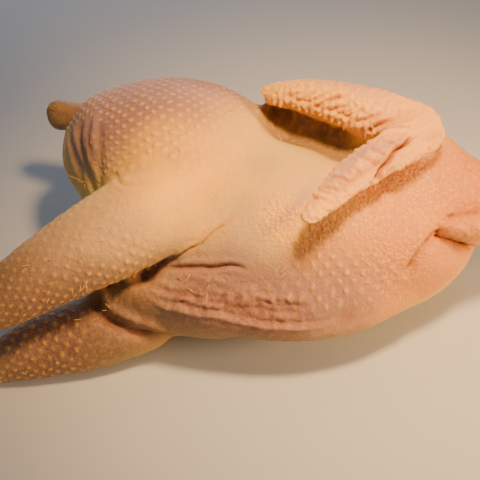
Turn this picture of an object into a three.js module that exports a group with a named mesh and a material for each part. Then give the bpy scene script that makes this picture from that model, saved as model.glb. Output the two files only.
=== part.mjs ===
// A whole raw stewing hen, plucked, lying on its left side with both legs stretched back.
// The hen is one soft skin: every muscle, limb and fold is a rounded form that melts into its neighbours.
// Frame: millimetres, +Z up, +X towards the neck, -Y towards the breastbone, +Y towards the back.
import * as THREE from "three";
import { MarchingCubes } from "three/addons/objects/MarchingCubes.js";
import { SimplifyModifier } from "three/addons/modifiers/SimplifyModifier.js";
import { mergeVertices } from "three/addons/utils/BufferGeometryUtils.js";

const { MathUtils, Vector3 } = THREE;
const at = (x, y, z) => new Vector3(x, y, z);

// Driving dimensions, in millimetres.
const FINE_CELL = 2.7; // spacing of the grid that the skin is first drawn on
const SKIN_TRIANGLES = 11000; // left after the flat stretches are thinned
const TABLE = 3.2; // height at which the table presses the soft flesh flat
const RESTING_EDGE = 2.4; // rounding where the flesh spreads on the table
const CUT_EDGE = 0.8; // rounding at the rim of the cut neck
const ORIGIN = at(12.3, 15.5, TABLE); // point of the table under the middle of the hen
const SKIN_COLOUR = 0xe0b48c;
const SKIN_ROUGHNESS = 0.5;

// Soft forms. Each is a function of a point that gives its distance from the form's skin, negative inside.
// blend is the width over which the form melts into what is there already.

// A muscle: an ellipsoid with half sizes along X, Y and Z, rolled about X and turned about Z in degrees.
function muscle({ centre, half, roll = 0, turn = 0, blend }) {
  const angles = new THREE.Euler(MathUtils.degToRad(roll), 0, MathUtils.degToRad(turn));
  const inward = new THREE.Matrix4().makeRotationFromEuler(angles).transpose().elements;
  const distance = (x, y, z) => {
    const px = x - centre.x;
    const py = y - centre.y;
    const pz = z - centre.z;
    const qx = (inward[0] * px + inward[4] * py + inward[8] * pz) / half.x;
    const qy = (inward[1] * px + inward[5] * py + inward[9] * pz) / half.y;
    const qz = (inward[2] * px + inward[6] * py + inward[10] * pz) / half.z;
    const reach = Math.hypot(qx, qy, qz);
    const slope = Math.hypot(qx / half.x, qy / half.y, qz / half.z);
    return slope > 0 ? (reach * (reach - 1)) / slope : -Math.min(half.x, half.y, half.z);
  };
  return { distance, blend, centre, reach: Math.max(half.x, half.y, half.z) };
}

const BEADS_PER_STATION = 5;
const station = (x, y, z, radius) => ({ p: at(x, y, z), radius });

// A limb: a round bar along a smooth line, whose radius changes from one station to the next.
// flatness squeezes it along the direction face, as a wing is squeezed.
function limb({ line, face = at(0, 0, 1), flatness = 1, blend }) {
  const steps = BEADS_PER_STATION * (line.length - 1);
  const middle = new THREE.CatmullRomCurve3(line.map((s) => s.p), false, "centripetal");
  const girth = new THREE.CatmullRomCurve3(line.map((s, i) => at(i, s.radius, 0)), false, "centripetal");
  const beads = [];
  for (let i = 0; i <= steps; i++) {
    beads.push({ p: middle.getPoint(i / steps), r: girth.getPoint(i / steps).y });
  }
  const n = face.clone().normalize();
  const squeeze = 1 / flatness - 1;
  const distance = (x, y, z) => {
    let nearest = Infinity;
    for (let i = 0; i < steps; i++) {
      const { p: a, r: ra } = beads[i];
      const { p: b, r: rb } = beads[i + 1];
      const dx = b.x - a.x;
      const dy = b.y - a.y;
      const dz = b.z - a.z;
      let px = x - a.x;
      let py = y - a.y;
      let pz = z - a.z;
      const t = MathUtils.clamp((px * dx + py * dy + pz * dz) / (dx * dx + dy * dy + dz * dz), 0, 1);
      px -= t * dx;
      py -= t * dy;
      pz -= t * dz;
      const off = squeeze * (px * n.x + py * n.y + pz * n.z);
      const d = Math.hypot(px + off * n.x, py + off * n.y, pz + off * n.z) - (ra + t * (rb - ra));
      if (d < nearest) nearest = d;
    }
    return nearest;
  };
  const around = new THREE.Sphere().setFromPoints(beads.map((bead) => bead.p));
  const widest = Math.max(...beads.map((bead) => bead.r));
  return { distance, blend, centre: around.center, reach: around.radius + widest };
}

// The trunk. Its middle plane lies level, so the right breast and flank face up.
const trunk = {
  ribcage: muscle({ centre: at(27.2, 24, 48), half: at(73.6, 44.8, 41.6), turn: -8, blend: 1 }),
  belly: muscle({ centre: at(-32, 19.2, 43.2), half: at(40, 36.8, 33.6), turn: -8, blend: 17.6 }),
  rightBreast: muscle({ centre: at(32, -3.2, 54.4), half: at(64, 32, 25.6), roll: 24, turn: 2, blend: 12.8 }),
  leftBreast: muscle({ centre: at(32, -3.2, 27.2), half: at(65.6, 32, 24), roll: -24, turn: 2, blend: 14.4 }),
  breastboneMeat: limb({
    line: [station(-35.2, -22.4, 38.4, 11.2), station(-8, -28.8, 36.8, 14.4), station(24, -30.4, 35.2, 14.4),
      station(52.8, -24, 35.2, 12.8)],
    blend: 11.2,
  }),
  looseBellySkin: limb({
    line: [station(-59.2, -20.8, 36, 10.4), station(-38.4, -26.4, 30.4, 12), station(-12.8, -28.8, 28, 12)],
    blend: 9.6,
  }),
  rump: muscle({ centre: at(-46.4, 51.2, 52.8), half: at(36.8, 28.8, 28.8), turn: -12, blend: 16 }),
  crop: muscle({ centre: at(83.2, 9.6, 36.8), half: at(30.4, 24, 23.2), blend: 11.2 }),
  rightShoulder: muscle({ centre: at(80, 32, 64), half: at(28.8, 22.4, 20.8), blend: 14.4 }),
  leftShoulder: muscle({ centre: at(80, 33.6, 28.8), half: at(28.8, 22.4, 22.4), blend: 14.4 }),
};

const tail = {
  root: limb({
    line: [station(-62.4, 70.4, 56, 13.6), station(-80, 80, 56, 8.8), station(-91.2, 83.2, 56, 6.4)],
    blend: 9.6,
  }),
  knob: muscle({ centre: at(-93.6, 83.2, 56), half: at(8, 7.2, 9.6), blend: 2.4 }),
};

// The ridge of skin along the breastbone, from the belly to the crop.
const keel = {
  ridge: limb({
    line: [station(-51.2, -27.2, 43.2, 4), station(-30.4, -36, 40, 4), station(-6.4, -40.8, 36.8, 4),
      station(16, -44, 32.8, 4), station(46.4, -39.2, 29.6, 4), station(72, -24, 30.4, 4.8)],
    blend: 8,
  }),
};

const neckEnd = station(156.8, 15.2, 35.2, 12.8);
const neck = {
  stalk: limb({
    line: [station(92.8, 27.2, 51.2, 24.8), station(115.2, 24, 51.2, 18.4), station(136, 20, 44.8, 15.6),
      neckEnd],
    blend: 9.6,
  }),
  fold: limb({
    line: [station(90.4, -8, 58.4, 3.2), station(99.2, -4.8, 58.4, 4.8), station(113.6, 1.6, 56, 6.4),
      station(128, 9.6, 48.8, 6.4)],
    blend: 2.4,
  }),
};

const knuckle = (x, y, z) => muscle({ centre: at(x, y, z), half: at(7.2, 6, 6.4), blend: 3.2 });

const rightLeg = {
  thigh: muscle({ centre: at(-30.4, 40.8, 68), half: at(52, 42.4, 31.2), turn: -10, blend: 11.2 }),
  hip: muscle({ centre: at(-60, 54.4, 65.6), half: at(21.6, 22.4, 20.8), blend: 9.6 }),
  drumstick: limb({
    line: [station(-12.8, 19.2, 68.8, 21.6), station(-40, -2.4, 68.8, 22.4), station(-67.2, -19.2, 64, 20),
      station(-89.6, -31.2, 57.6, 16.8), station(-110.4, -42.4, 50, 12.8), station(-123.2, -48, 47.2, 8.8)],
    blend: 5.6,
  }),
  innerKnuckle: knuckle(-127.2, -52.8, 43.2),
  outerKnuckle: knuckle(-128.8, -48, 48),
};

const leftLeg = {
  thigh: muscle({ centre: at(-36.8, 28.8, 26.4), half: at(36.8, 38.4, 26.4), turn: -10, blend: 12.8 }),
  drumstick: limb({
    line: [station(-48, -24, 20, 17.6), station(-69.6, -32, 17.6, 17.2), station(-96, -39.2, 14.4, 14.4),
      station(-113.6, -44.8, 11.2, 10), station(-123.2, -48, 9.6, 8)],
    blend: 6.4,
  }),
  innerKnuckle: knuckle(-128.8, -53.6, 8.8),
  outerKnuckle: knuckle(-130.4, -46.4, 9.6),
};

// Folds of loose skin that hang behind the right thigh, down to the drumstick.
const hangingFolds = {
  outer: limb({
    line: [station(-83.2, 59.2, 65.6, 3.2), station(-84, 44.8, 59.2, 4), station(-73.6, 24, 54.4, 3.2)],
    blend: 3.2,
  }),
  inner: limb({
    line: [station(-72, 57.6, 79.2, 2.4), station(-75.2, 40, 68.8, 4), station(-68.8, 21.6, 60.8, 3.2)],
    blend: 3.2,
  }),
};

// The right wing is folded on the flank: out to the elbow, back to the wrist, and the hand out again.
const wingFace = at(0, -0.45, 0.9);
const rightWing = {
  upperArm: limb({
    line: [station(83.2, 41.6, 67.2, 16), station(52.8, 51.2, 75.2, 13.6), station(20.8, 57.6, 88, 6.4)],
    blend: 8,
  }),
  forearm: limb({
    line: [station(13.6, 55.2, 93.6, 5.2), station(32, 49.6, 96.8, 8.8), station(60.8, 38.4, 96.8, 12),
      station(83.2, 30.4, 93.6, 12)],
    face: wingFace,
    flatness: 0.5,
    blend: 3.2,
  }),
  hand: limb({
    line: [station(84.8, 24, 94.4, 11.2), station(70.4, 10.2, 97, 10), station(49.6, -8.4, 96.4, 9.6),
      station(30.4, -29.2, 91.6, 5.6)],
    face: wingFace,
    flatness: 0.42,
    blend: 2.4,
  }),
  thumb: limb({
    line: [station(89.6, 18.4, 94.4, 4), station(78.4, 6.4, 96.4, 4), station(69.6, -3.2, 96, 2.4)],
    face: wingFace,
    flatness: 0.8,
    blend: 2.4,
  }),
};

// The left wing is folded under the back, flat on the table.
const leftWing = {
  upperArm: limb({
    line: [station(80, 41.6, 27.2, 14.4), station(49.6, 57.6, 17.6, 11.2), station(20.8, 64, 11.2, 8.8)],
    blend: 8,
  }),
  forearm: limb({
    line: [station(17.6, 65.6, 7.2, 6.4), station(35.2, 67.2, 7.2, 9.6), station(64, 60.8, 7.2, 11.2),
      station(86.4, 46.4, 8.8, 11.2)],
    flatness: 0.55,
    blend: 4.8,
  }),
  hand: limb({
    line: [station(86.4, 44.8, 8.8, 10.4), station(72, 27.2, 7.2, 9.6), station(51.2, 9.6, 6.4, 8)],
    flatness: 0.55,
    blend: 4,
  }),
};

const groups = [trunk, tail, keel, neck, hangingFolds, rightLeg, leftLeg, rightWing, leftWing];
const flesh = groups.flatMap(Object.values);

// Square across the neck, at its last station.
const alongNeck = at(0.9, -0.2, -0.4).normalize();
const NECK_CUT = new THREE.Plane().setFromNormalAndCoplanarPoint(alongNeck, neckEnd.p);
const probe = at(0, 0, 0);

// Two distances melted together over a width, and the same for what is cut away.
function melt(a, b, width) {
  if (a === Infinity) return b;
  const h = Math.max(width - Math.abs(a - b), 0) / width;
  return Math.min(a, b) - (h * h * width) / 4;
}
const carve = (a, b, width) => -melt(-a, b, width);

// The whole skin: all the flesh melted together, the neck cut off, and the underside pressed flat.
function skin(x, y, z) {
  let d = Infinity;
  for (const { distance, blend, centre, reach } of flesh) {
    const gap = Math.hypot(x - centre.x, y - centre.y, z - centre.z) - reach;
    if (gap < d + blend) d = melt(d, distance(x, y, z), blend);
  }
  const beforeCut = -NECK_CUT.distanceToPoint(probe.set(x, y, z));
  const cut = carve(d, beforeCut, CUT_EDGE);
  return carve(cut, z - TABLE, RESTING_EDGE);
}

// The grid of the marching cubes. It is filled in blocks, and a block far from the skin takes one value.
const GRID = { centre: at(13, 14.4, 49.6), cells: 128, block: 4, mostTriangles: 120000 };
const FAR_BLOCK = 1.6; // in block lengths
const LEAST_DISTANCE = 0.06; // in cells: a grid point on the skin itself would give a face with no area
const SAME_POINT = 1e-2; // millimetres

function drawSkin(cell) {
  const { centre, cells, block, mostTriangles } = GRID;
  const cubes = new MarchingCubes(cells, new THREE.MeshStandardMaterial(), false, false, mostTriangles);
  cubes.isolation = 0;
  const place = (i, middle) => (i - cells / 2) * cell + middle;
  const least = LEAST_DISTANCE * cell;
  for (let k = 0; k < cells; k += block) {
    for (let j = 0; j < cells; j += block) {
      for (let i = 0; i < cells; i += block) {
        const half = block / 2;
        const rough = skin(place(i + half, centre.x), place(j + half, centre.y), place(k + half, centre.z));
        const near = Math.abs(rough) < FAR_BLOCK * block * cell;
        for (let c = k; c < k + block; c++) {
          for (let b = j; b < j + block; b++) {
            for (let a = i; a < i + block; a++) {
              const d = near ? skin(place(a, centre.x), place(b, centre.y), place(c, centre.z)) : rough;
              const clear = Math.abs(d) < least ? least * (d < 0 ? -1 : 1) : d;
              cubes.field[a + b * cells + c * cells * cells] = -clear;
            }
          }
        }
      }
    }
  }
  cubes.update();
  const drawn = new THREE.BufferGeometry();
  drawn.setAttribute("position", new THREE.BufferAttribute(cubes.positionArray.slice(0, 3 * cubes.count), 3));
  const halfWidth = (cells * cell) / 2;
  drawn.scale(halfWidth, halfWidth, halfWidth);
  drawn.translate(centre.x, centre.y, centre.z);
  return mergeVertices(drawn, SAME_POINT);
}

// Moves a point on to the skin, along the way that the distance falls.
const SETTLING = { turns: 3, step: 0.05, leastSlope: 0.2 };

function settle(p) {
  const { turns, step, leastSlope } = SETTLING;
  for (let turn = 0; turn < turns; turn++) {
    const d = skin(p.x, p.y, p.z);
    const gx = (skin(p.x + step, p.y, p.z) - d) / step;
    const gy = (skin(p.x, p.y + step, p.z) - d) / step;
    const gz = (skin(p.x, p.y, p.z + step) - d) / step;
    const steepness = Math.max(gx * gx + gy * gy + gz * gz, leastSlope);
    p.x -= (d * gx) / steepness;
    p.y -= (d * gy) / steepness;
    p.z -= (d * gz) / steepness;
  }
}

// Evens out the triangles: each vertex goes towards the middle of its neighbours, and back to the skin.
const EVENING = { rounds: 2, keep: 0.5 };

function evenOut(geometry) {
  const place = geometry.getAttribute("position");
  const index = geometry.getIndex().array;
  const neighbours = Array.from({ length: place.count }, () => new Set());
  for (let i = 0; i < index.length; i += 3) {
    const [a, b, c] = index.slice(i, i + 3);
    neighbours[a].add(b).add(c);
    neighbours[b].add(a).add(c);
    neighbours[c].add(a).add(b);
  }
  for (let round = 0; round < EVENING.rounds; round++) {
    const moved = neighbours.map((near, i) => {
      const middle = at(0, 0, 0);
      for (const j of near) middle.add(new Vector3().fromBufferAttribute(place, j));
      middle.divideScalar(near.size).lerp(new Vector3().fromBufferAttribute(place, i), EVENING.keep);
      settle(middle);
      return middle;
    });
    moved.forEach((p, i) => place.setXYZ(i, p.x, p.y, p.z));
  }
  return geometry;
}

const full = evenOut(drawSkin(FINE_CELL));
const spare = full.getAttribute("position").count - SKIN_TRIANGLES / 2;
const thinned = await new SimplifyModifier().modify(full, spare);
thinned.translate(-ORIGIN.x, -ORIGIN.y, -ORIGIN.z);

const skinLook = { color: SKIN_COLOUR, roughness: SKIN_ROUGHNESS, metalness: 0 };
const hen = new THREE.Mesh(thinned, new THREE.MeshStandardMaterial(skinLook));
hen.name = "hen";

const whole = new THREE.Group();
whole.add(hen);
export default whole;
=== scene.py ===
"""A plucked, raw stewing hen lying on its left side, dressed over its CAD frame."""
import math
import random

import bmesh
import bpy
import numpy as np
from bpy.props import FloatProperty, FloatVectorProperty, IntProperty, PointerProperty
from mathutils import Matrix, Vector, noise
from mathutils.bvhtree import BVHTree


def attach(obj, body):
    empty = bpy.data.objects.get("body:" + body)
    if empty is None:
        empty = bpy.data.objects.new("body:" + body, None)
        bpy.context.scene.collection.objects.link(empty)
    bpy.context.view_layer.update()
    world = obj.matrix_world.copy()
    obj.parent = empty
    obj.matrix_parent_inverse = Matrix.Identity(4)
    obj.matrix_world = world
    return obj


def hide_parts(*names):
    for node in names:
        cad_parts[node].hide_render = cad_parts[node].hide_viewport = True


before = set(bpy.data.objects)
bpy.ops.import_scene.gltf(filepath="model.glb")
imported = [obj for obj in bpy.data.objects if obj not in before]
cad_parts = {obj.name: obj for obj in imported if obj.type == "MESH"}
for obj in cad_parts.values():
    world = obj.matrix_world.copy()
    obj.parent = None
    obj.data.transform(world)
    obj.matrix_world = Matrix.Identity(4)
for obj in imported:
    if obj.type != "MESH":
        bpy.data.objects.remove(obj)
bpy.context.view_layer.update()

bl_info = {
    "name": "Raw stewing hen",
    "version": (1, 0, 0),
    "blender": (4, 5, 0),
    "location": "View3D > Sidebar > Hen",
    "description": "Skin, pin feathers and cut neck of a plucked stewing hen",
    "category": "Add Mesh",
}

MM = 0.001
HEN_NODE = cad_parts["hen"]
# The layers of the skin that its material reads, each a number from 0 to 1 at every vertex.
# The crease layer darkens folds with the flushed red, partly as painted shade.
LAYERS = ("crease", "pimple", "speck", "stipple")


def unit(*way):
    """A direction, scaled to length 1."""
    return np.array(Vector(way).normalized())


# Places are in millimetres in the frame: x towards the neck, y towards the back, z up from the table.
# A bone is a table of stations (x, y, z, radius) that the flesh follows.
RIGHT_SHIN = np.array(((-25, 4, 66, 21.6), (-52, -18, 66, 22.4), (-80, -35, 61, 20), (-102, -47, 54, 16.8),
                       (-123, -58, 47, 12.8), (-137, -65, 44, 8.8)))
LEFT_SHIN = np.array(((-60, -40, 17, 17.6), (-82, -48, 14, 17.2), (-108, -55, 11, 14.4), (-126, -60, 8, 10),
                      (-137, -65, 6, 8)))
NECK_BONE = np.array(((80, 12, 48, 24), (103, 8, 48, 18.4), (124, 4, 42, 15.6), (144.5, 0, 32, 12.8)))
FOREARM = np.array(((1.3, 39.7, 90.4, 5.2), (19.7, 34.1, 93.6, 8.8), (48.5, 22.9, 93.6, 12),
                    (71, 15, 90.4, 12)))
HAND = np.array(((72.5, 8.5, 91.2, 11.2), (58, -5.3, 93.8, 10), (37.3, -24, 93.2, 9.6),
                 (18, -44.7, 88.4, 5.6)))
LEFT_FOREARM = np.array(((5, 50, 4, 6.4), (23, 52, 4, 9.6), (52, 45, 4, 11.2), (74, 31, 6, 11.2)))
LEFT_HAND = np.array(((74, 29, 6, 10.4), (60, 12, 4, 9.6), (39, -6, 3, 8)))
WING_BONES = (FOREARM, HAND, LEFT_FOREARM, LEFT_HAND)
WING_FACE = unit(0, -0.45, 0.9)
NECK_CUT = np.array((144.5, -0.3, 32))
NECK_CUT_NORMAL = unit(0.9, -0.2, -0.4)
# Beyond this x there is nothing but neck.
NECK_START = 125
THIGH_CENTRE = np.array((-42.7, 25.3, 64.8))
THIGH_HALF = np.array((52, 42.4, 31.2))
THIGH_POLE = unit(-0.1, -0.5, 0.86)
# The y and z of the line that the feather tracts of the trunk turn round, and their radii.
TRUNK_AXIS = (8, 42)
TRUNK_RADIUS, THIGH_RADIUS = 42, 44
# How far a crease strays from its drawn path, and how low a pin feather may stand.
STRAY = 0.9
LOWEST_FEATHER = 3
# Steps and limits of the arithmetic.
TINY = 1e-6
SEED_STEP = 37.3
RELAX_STEP = 0.6
# The stage: half the floor's edge in metres, what the camera looks at, and the light.
FLOOR_HALF = 4.0
CAMERA_TARGET = (-12.3, -11.5, 40.8)
WARM_LIGHT, NEUTRAL_LIGHT, COOL_LIGHT = "ffc684", "f4f0ee", "e8eefa"
WORLD_COLOUR, WORLD_STRENGTH = "ecedf0", 0.15


def linear(code):
    """A colour written as sRGB hex, turned linear."""
    channels = [int(code[at:at + 2], 16) / 255 for at in (0, 2, 4)]
    return [c / 12.92 if c <= 0.04045 else ((c + 0.055) / 1.055) ** 2.4 for c in channels]


def length_setting(name, description, default):
    """A length property, given in millimetres."""
    return FloatProperty(name=name, description=description, default=default * MM, min=0, subtype="DISTANCE",
                         unit="LENGTH")


def colour_setting(name, description, code):
    """A colour property, given as sRGB hex."""
    return FloatVectorProperty(name=name, description=description, default=linear(code), size=3, min=0,
                               max=1, subtype="COLOR")


class SkinSettings(bpy.types.PropertyGroup):
    """Sizes and colours of the hen's skin."""
    voxel: length_setting("Mesh size", "Edge of the skin's base mesh", 2.3)
    follicle_gap: length_setting("Follicle gap", "From one feather follicle to the next", 4.7)
    follicle_height: length_setting("Follicle height", "How far a follicle stands up", 0.42)
    quill_gap: length_setting("Quill gap", "From one wing quill socket to the next", 3.4)
    fat: colour_setting("Fat", "Yellow fat under thin skin", "f6be38")
    pale: colour_setting("Pale skin", "Skin over the flank", "e0c06c")
    mauve: colour_setting("Mauve skin", "Skin over dark leg meat", "a4848a")
    # This colour is partly dusky skin and partly painted shade: its patches darken the tail, the left leg,
    # the shin's lower side and end, the keel's lower wall, the pleats and the top of the thigh, where shade
    # falls.
    dusky_and_shade: colour_setting("Dusky skin", "Skin of the tail and the lower leg", "745548")
    peach: colour_setting("Peach skin", "Skin over breast meat", "d28a3c")
    pink: colour_setting("Pink skin", "Skin of the wings", "f0b256")
    # The flushed red is a real colour in the bruises; in the creases and under the hand's cast shadow it is
    # partly painted shade.
    blood_and_shade: colour_setting("Flushed skin", "Creases and bruises", "80382a")
    horn: colour_setting("Follicle tip", "Waxy yellow tip of a follicle", "ecb440")


class FeatherSettings(bpy.types.PropertyGroup):
    """Sizes and colour of the pin feathers left by plucking."""
    length: length_setting("Length", "Usual length of a pin feather", 5.4)
    radius: length_setting("Radius", "Radius at the root", 0.21)
    seed: IntProperty(name="Seed", description="Draw of their places", default=7)
    colour: colour_setting("Colour", "Straw-coloured keratin", "eec25c")


class NeckSettings(bpy.types.PropertyGroup):
    """Sizes and colours of the bone in the cut neck."""
    bone: length_setting("Bone radius", "Radius of the neck bone", 4.4)
    bone_colour: colour_setting("Bone", "Fresh bone", "e9d8c0")


class StageSettings(bpy.types.PropertyGroup):
    """Floor, light and camera."""
    floor: colour_setting("Floor", "Plain pale floor", "b6c0cc")
    lens: FloatProperty(name="Lens", description="Focal length in millimetres", default=100, min=1)
    distance: length_setting("Distance", "From the camera to its target", 640)
    elevation: FloatProperty(name="Elevation", description="Camera's height angle",
                             default=math.radians(45), subtype="ANGLE", unit="ROTATION")


# The skin's form.

def smooth_path(points, rounds=3):
    """A polyline through the points with its corners cut, ends kept."""
    path = np.array(points, float)
    for _ in range(rounds):
        before, after = path[:-1], path[1:]
        cut = np.stack((0.75 * before + 0.25 * after, 0.25 * before + 0.75 * after), 1).reshape(-1, 3)
        path = np.vstack((path[:1], cut, path[-1:]))
    return path


def near_path(points, path, reach):
    """Which points lie within reach of a path, how near it is, the nearest spot and how far along, 0 to 1."""
    inside = ((points > path.min(0) - reach) & (points < path.max(0) + reach)).all(1)
    chosen = np.flatnonzero(inside)
    places = points[chosen]
    gap = np.full(len(chosen), np.inf)
    along = np.zeros(len(chosen))
    spot = np.zeros((len(chosen), 3))
    lengths = np.linalg.norm(np.diff(path, axis=0), axis=1)
    start = 0.0
    for a, b, length in zip(path[:-1], path[1:], lengths):
        share = np.clip((places - a) @ (b - a) / max(length, TINY) ** 2, 0, 1)
        foot = a + share[:, None] * (b - a)
        away = np.linalg.norm(places - foot, axis=1)
        closer = away < gap
        gap[closer] = away[closer]
        along[closer] = (start + share * length)[closer]
        spot[closer] = foot[closer]
        start += length
    close = gap < reach
    return chosen[close], gap[close], spot[close], along[close] / max(start, TINY)


def bell(distance, width):
    """1 in the middle, falling off smoothly over a width."""
    return np.exp(-(distance / width) ** 2)


def ramp(value, low, high):
    """0 below low, 1 above high, smooth between."""
    share = np.clip((value - low) / (high - low), 0, 1)
    return share * share * (3 - 2 * share)


def grain(points, size, seed=0):
    """Smooth noise from -1 to 1 with features of a size, at each point."""
    moved = points / size + SEED_STEP * seed
    return np.array([noise.noise(Vector(p)) for p in moved])


class Hide:
    """The skin's vertices in millimetres, with the layers that are painted on them."""

    def __init__(self, mesh):
        self.mesh = mesh
        count = len(mesh.vertices)
        flat = np.zeros(count * 3, np.float32)
        mesh.vertices.foreach_get("co", flat)
        self.points = (flat.reshape(-1, 3) / MM).astype(float)
        self.tract, self.tint = np.zeros((2, count, 3))
        for name in (*LAYERS, "shade", "meat"):
            setattr(self, name, np.zeros(count))
        self.settle()

    def settle(self):
        """Writes the moved points to the mesh and reads its normals again."""
        self.mesh.vertices.foreach_set("co", (self.points * MM).astype(np.float32).ravel())
        self.mesh.update()
        flat = np.zeros(len(self.points) * 3, np.float32)
        self.mesh.vertex_normals.foreach_get("vector", flat)
        self.normals = flat.reshape(-1, 3).astype(float)
        polygons = [tuple(p.vertices) for p in self.mesh.polygons]
        self.tree = BVHTree.FromPolygons([Vector(p) for p in self.points], polygons)

    def relax(self, weight, rounds=2):
        """Draws each vertex towards the middle of its neighbours, by a weight from 0 to 1."""
        edges = np.zeros(len(self.mesh.edges) * 2, np.int32)
        self.mesh.edges.foreach_get("vertices", edges)
        one, other = edges.reshape(-1, 2).T
        count = np.bincount(edges, minlength=len(self.points))[:, None]
        for _ in range(rounds):
            total = np.zeros_like(self.points)
            for axis in range(3):
                total[:, axis] += np.bincount(one, self.points[other, axis], len(self.points))
                total[:, axis] += np.bincount(other, self.points[one, axis], len(self.points))
            self.points += RELAX_STEP * weight[:, None] * (total / count - self.points)

    def on_skin(self, places):
        """The nearest points of the skin to some places."""
        return [tuple(self.tree.find_nearest(Vector(place))[0]) for place in places]

    def beside(self, places, reach):
        """The vertices beside a path laid on the skin, as near_path gives them."""
        return near_path(self.points, smooth_path(self.on_skin(places)), reach)

    def swell(self, amount, chosen=slice(None)):
        """Moves vertices out along their normals."""
        self.points[chosen] += self.normals[chosen] * amount[:, None]

    def deepen(self, name, chosen, amount):
        """Raises a painted layer to an amount where it is less."""
        layer = getattr(self, name)
        layer[chosen] = np.maximum(layer[chosen], amount)

    def cover(self, share, colour):
        """Lays a colour over the skin, by a share from 0 to 1 at each vertex."""
        self.tint += (colour - self.tint) * share[:, None]

    def daub(self, patches):
        """Paints soft round patches, in order."""
        for place, radius, colour, strength in patches:
            self.cover(strength * self.around(place, radius), colour)

    def dapple(self, name, patches):
        """Raises a painted layer softly in round patches."""
        for place, radius, strength in patches:
            self.deepen(name, slice(None), strength * self.around(place, radius))

    def stroke(self, places, depth, width, lip=0.0, ends=(0.0, 0.0), flush_and_shade=0.0, pinch=0.3, shade=0.0):
        """Presses a crease along a path, or with a negative depth raises a ridge. The flushed red it lays in
        the crease is partly painted shade; its shade is painted shade.
        """
        path = smooth_path(self.on_skin(places))
        # No crease runs quite true or is equally deep all along.
        path += STRAY * np.column_stack([grain(path, 9, seed) for seed in (31, 32, 33)])
        chosen, gap, spot, along = near_path(self.points, path, 3.5 * width)
        hold = np.interp(along, (0, 0.22, 0.78, 1), (ends[0], 1, 1, ends[1]))
        hold *= 1 + 0.4 * np.interp(along, np.linspace(0, 1, len(path)), grain(path, 6, 34))
        middle = bell(gap, width) * hold
        rise = -depth * middle + lip * bell(gap - 1.9 * width, 0.8 * width) * hold
        normal = self.normals[chosen]
        pull = spot - self.points[chosen]
        pull -= normal * (pull * normal).sum(1)[:, None]
        squeeze = pinch * bell(gap, 1.7 * width) * hold
        self.points[chosen] += normal * rise[:, None] + pull * squeeze[:, None]
        stain = bell(gap, 1.3 * width) * hold
        self.deepen("crease", chosen, flush_and_shade * stain)
        self.deepen("shade", chosen, shade * stain)

    def beads(self, places, height, width, gap_along, length, outward=None, sharpness=1.0):
        """Raises a row of lumps along a path, one each gap."""
        chosen, gap, _, along = self.beside(places, 3 * width)
        distance = along * length + 0.16 * gap_along * grain(self.points[chosen], 5, 35)
        wave = (0.5 + 0.5 * np.cos(2 * math.pi * distance / gap_along)) ** sharpness
        hold = np.interp(along, (0, 0.08, 0.92, 1), (0, 1, 1, 0))
        hold = hold * (1 + 0.6 * grain(self.points[chosen], 4.5, 36))
        rise = height * (wave - 0.35) * bell(gap, width) * hold
        way = self.normals[chosen] if outward is None else outward
        self.points[chosen] += way * rise[:, None]

    def dent(self, place, depth, radius, flush_and_shade=0.0):
        """Presses a round dent, or with a negative depth raises a lump. The flushed red it lays in the dent
        is partly painted shade.
        """
        centre = np.array(self.on_skin([place])[0])
        gap = np.linalg.norm(self.points - centre, axis=1)
        near = np.flatnonzero(gap < 3 * radius)
        middle = bell(gap[near], radius)
        self.swell(-depth * middle, near)
        self.deepen("crease", near, flush_and_shade * middle)

    def tinge(self, places, width, colour, strength):
        """Paints a soft streak along a path."""
        chosen, gap, _, along = self.beside(places, 2.5 * width)
        share = strength * bell(gap, width) * np.interp(along, (0, 0.3, 0.7, 1), (0, 1, 1, 0))
        share = share * (1 + 0.4 * grain(self.points[chosen], 6, 43))
        self.tint[chosen] += (colour - self.tint[chosen]) * share[:, None]

    def around(self, place, radius):
        """1 at a place, 0 beyond the radius, smooth between."""
        gap = np.linalg.norm(self.points - np.array(place, float), axis=1)
        return 1 - ramp(gap, 0.25 * radius, radius)

    def along_bone(self, stations, reach):
        """1 on the flesh that follows a bone, 0 beyond its reach; the way along it and the nearest spot."""
        path, radii = stations[:, :3], stations[:, 3]
        chosen, gap, spot, along = near_path(self.points, path, radii.max() + 2 * reach)
        steps = np.concatenate(([0], np.cumsum(np.linalg.norm(np.diff(path, axis=0), axis=1))))
        radius = np.interp(along * steps[-1], steps, radii)
        share = np.zeros(len(self.points))
        share[chosen] = 1 - ramp(gap - radius, 0.4 * reach, reach)
        travel = np.zeros(len(self.points))
        travel[chosen] = along * steps[-1]
        foot = np.zeros_like(self.points)
        foot[chosen] = spot
        return share, travel, foot


def new_object(name, work):
    """A mesh object in the scene, made from a bmesh."""
    mesh = bpy.data.meshes.new(name)
    work.to_mesh(mesh)
    work.free()
    piece = bpy.data.objects.new(name, mesh)
    bpy.context.scene.collection.objects.link(piece)
    return piece


def merged_copy(node):
    """A new mesh object with the node's form, its loose triangles joined."""
    work = bmesh.new()
    work.from_mesh(node.data)
    bmesh.ops.remove_doubles(work, verts=work.verts, dist=0.01 * MM)
    return new_object("skin", work)


def apply_modifiers(piece):
    """Bakes a piece's modifiers into its mesh."""
    graph = bpy.context.evaluated_depsgraph_get()
    graph.update()
    mesh = bpy.data.meshes.new_from_object(piece.evaluated_get(graph))
    old = piece.data
    piece.modifiers.clear()
    piece.data = mesh
    bpy.data.meshes.remove(old)


def smooth(work, verts, rounds):
    """Draws vertices of a bmesh halfway towards their neighbours, some rounds over."""
    for _ in range(rounds):
        bmesh.ops.smooth_vert(work, verts=verts, factor=0.5, use_axis_x=True, use_axis_y=True,
                              use_axis_z=True)


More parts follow.
